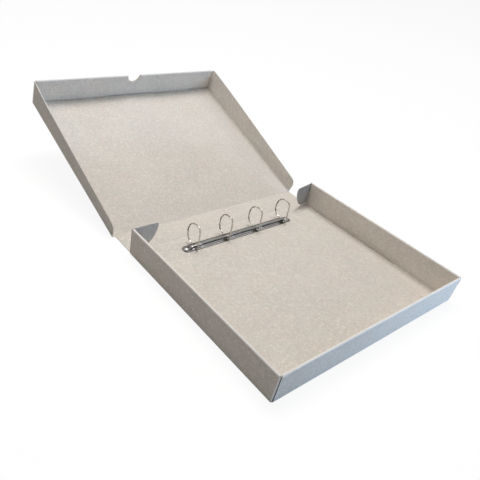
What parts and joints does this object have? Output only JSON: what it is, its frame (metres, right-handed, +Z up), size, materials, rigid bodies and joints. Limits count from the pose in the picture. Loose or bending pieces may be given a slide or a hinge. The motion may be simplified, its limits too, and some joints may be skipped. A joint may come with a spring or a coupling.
{
  "type": "box file",
  "caption": "Folded board box file, open: shallow tray with dust flaps, spine and lid hinged on creases, and a steel D-ring mechanism riveted to the tray floor.",
  "frame": {"origin": "middle of the tray's underside, on the surface that the box stands on", "axes": "+X along the spine to the right as seen from the front wall, +Y from the tray's front wall towards the spine and the lid, +Z up"},
  "size_m": [0.4946, 0.8181, 0.1769],
  "materials": {
    "board": "matt mottled archival board",
    "steel": "bright nickel-plated steel"
  },
  "bodies": {
    "tray": {"tray_shell": "board", "ring_housing": "steel", "left_rivet": "steel", "right_rivet": "steel", "left_rivet_washer": "steel", "right_rivet_washer": "steel"},
    "spine": {"spine_panel": "board"},
    "lid": {"lid_shell": "board"},
    "left_flap": {"left_corner_flap": "board"},
    "right_flap": {"right_corner_flap": "board"},
    "front_rings": {"front_blade": "steel", "front_half_ring_1": "steel", "front_half_ring_2": "steel", "front_half_ring_3": "steel", "front_half_ring_4": "steel"},
    "rear_rings": {"rear_blade": "steel", "rear_half_ring_1": "steel", "rear_half_ring_2": "steel", "rear_half_ring_3": "steel", "rear_half_ring_4": "steel"}
  },
  "joints": [
    {"name": "spine_fold", "type": "hinge", "parent": "tray", "child": "spine", "pos_m": [0, 0.19375, 0.00075], "axis": [1, 0, 0], "range_deg": [0, 90]},
    {"name": "lid_fold", "type": "hinge", "parent": "spine", "child": "lid", "pos_m": [0, 0.25225, 0.00075], "axis": [1, 0, 0], "range_deg": [-18.6, 71.4]},
    {"name": "left_flap_fold", "type": "hinge", "parent": "tray", "child": "left_flap", "pos_m": [-0.23925, 0.19195, 0.031], "axis": [0, 0, 1], "range_deg": [-18, 90]},
    {"name": "right_flap_fold", "type": "hinge", "parent": "tray", "child": "right_flap", "pos_m": [0.23925, 0.19195, 0.031], "axis": [0, 0, -1], "range_deg": [-8.5, 99.5]},
    {"name": "front_rings_open", "type": "hinge", "parent": "tray", "child": "front_rings", "pos_m": [0, 0.14842, 0.0029], "axis": [1, 0, 0], "range_deg": [0, 14]},
    {"name": "rear_rings_open", "type": "hinge", "parent": "tray", "child": "rear_rings", "pos_m": [0, 0.16468, 0.0029], "axis": [1, 0, 0], "range_deg": [-14, 0]}
  ],
  "couplings": [
    {"joint": "rear_rings_open", "follows": "front_rings_open", "ratio": -1}
  ]
}
